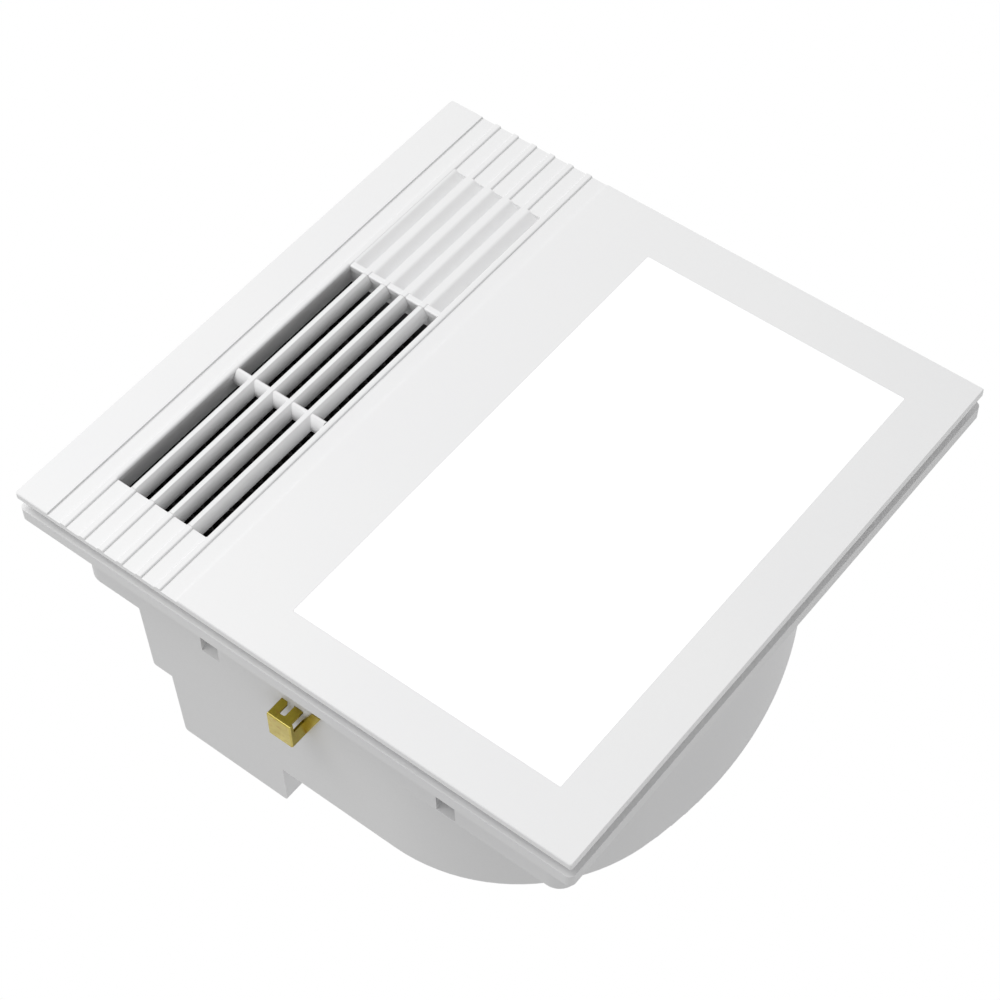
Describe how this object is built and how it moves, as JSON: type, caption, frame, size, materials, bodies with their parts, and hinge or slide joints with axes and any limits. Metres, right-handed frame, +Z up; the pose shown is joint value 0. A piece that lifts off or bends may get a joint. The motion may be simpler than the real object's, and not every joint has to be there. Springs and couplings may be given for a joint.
{
  "type": "bathroom ceiling heater",
  "caption": "Square ceiling heater with ribbed air outlet, flat light panel, fan casing, heating element and round exhaust spigot.",
  "frame": {"origin": "centre of the ceiling flange's upper face, midway between its four screw holes", "axes": "+Z up into the ceiling void, so the room face looks along -Z; +X along the ribs of the outlet towards the exhaust spigot; +Y from the outlet towards the light"},
  "size_m": [0.3275, 0.3, 0.148],
  "materials": {
    "housing_white": "moulded, fine matt",
    "panel_white": "smooth satin",
    "grille_white": "smooth satin",
    "diffuser_white": "opal",
    "clear_acrylic": "clear",
    "board_white": "solder resist",
    "chip_yellow": "phosphor",
    "reflector_white": "matt film",
    "zinc_yellow": "yellow zinc plate",
    "zinc_grey": "zinc plate",
    "spring_steel": "rolled",
    "screw_steel": "zinc plate",
    "lamination": "varnished laminations",
    "copper": "enamelled winding",
    "bronze": "sintered",
    "grey_rubber": "matt",
    "impeller_black": "moulded",
    "liner_grey": "moulded",
    "heater_grey": "heat-proof moulding",
    "heater_black": "black-coated folded sheet",
    "terminal_brass": "stamped",
    "cutout_black": "phenolic",
    "guide_grey": "moulded",
    "foam_black": "closed-cell foam",
    "board_green": "solder resist",
    "relay_blue": "moulded",
    "capacitor_white": "moulded",
    "terminal_white": "moulded"
  },
  "bodies": {
    "housing": {"main_housing": "housing_white", "face_panel": "panel_white", "outlet_grille": "grille_white", "grille_screws": "screw_steel", "light_diffuser": "diffuser_white", "light_guide": "clear_acrylic", "light_reflector": "reflector_white", "led_strips": "board_white", "led_chips": "chip_yellow", "light_tray": "zinc_grey", "light_tray_screws": "screw_steel", "led_driver": "terminal_white", "panel_hooks": "spring_steel", "hook_screws": "screw_steel", "mounting_clips": "zinc_yellow", "scroll_floor": "liner_grey", "scroll_floor_screws": "screw_steel", "scroll_liner": "liner_grey", "motor_lower_shell": "zinc_grey", "motor_upper_shell": "zinc_grey", "motor_bracket": "zinc_grey", "motor_grommets": "grey_rubber", "motor_screws": "screw_steel", "motor_stator": "lamination", "motor_windings": "copper", "motor_bushes": "bronze", "air_guide": "guide_grey", "air_guide_screws": "screw_steel", "heater_frame": "heater_grey", "heater_screws": "screw_steel", "heating_bars": "heater_black", "heater_fins": "heater_black", "heater_terminals": "terminal_brass", "thermal_cutout": "cutout_black", "flap_motor": "zinc_grey", "flap_motor_screws": "screw_steel", "exhaust_gasket": "foam_black", "exhaust_spigot": "housing_white", "spigot_screws": "screw_steel", "leaf_pin": "spring_steel", "wiring_box": "housing_white", "wiring_box_screws": "screw_steel", "wiring_cover": "housing_white", "wiring_cover_screws": "screw_steel", "cable_grommet": "grey_rubber", "control_board": "board_green", "relays": "relay_blue", "fan_capacitor": "capacitor_white", "terminal_block": "terminal_white", "terminal_screws": "terminal_brass"},
    "fan_wheel": {"impeller": "impeller_black", "impeller_nut": "screw_steel", "motor_shaft": "spring_steel", "motor_rotor": "lamination"},
    "changeover": {"changeover_flap": "housing_white", "flap_seal": "foam_black", "flap_shaft": "spring_steel"},
    "leaf_front": {"backdraught_leaf_front": "housing_white"},
    "leaf_back": {"backdraught_leaf_back": "housing_white"}
  },
  "joints": [
    {"name": "fan_spin", "type": "hinge", "parent": "housing", "child": "fan_wheel", "pos_m": [-0.05, 0.052, 0.07], "axis": [0, 0, 1], "continuous": true},
    {"name": "changeover_turn", "type": "hinge", "parent": "housing", "child": "changeover", "pos_m": [0.042, -0.0555, 0.0535], "axis": [0, -1, 0], "range_deg": [0, 90]},
    {"name": "front_leaf_swing", "type": "hinge", "parent": "housing", "child": "leaf_front", "pos_m": [0.1515, -0.0555, 0.0885], "axis": [0, 0, 1], "range_deg": [0, 75], "stiffness_Nm_per_rad": 0.002, "springref_deg": -17.19},
    {"name": "back_leaf_swing", "type": "hinge", "parent": "housing", "child": "leaf_back", "pos_m": [0.1515, -0.0555, 0.0885], "axis": [0, 0, -1], "range_deg": [0, 75], "stiffness_Nm_per_rad": 0.002, "springref_deg": -17.19}
  ]
}
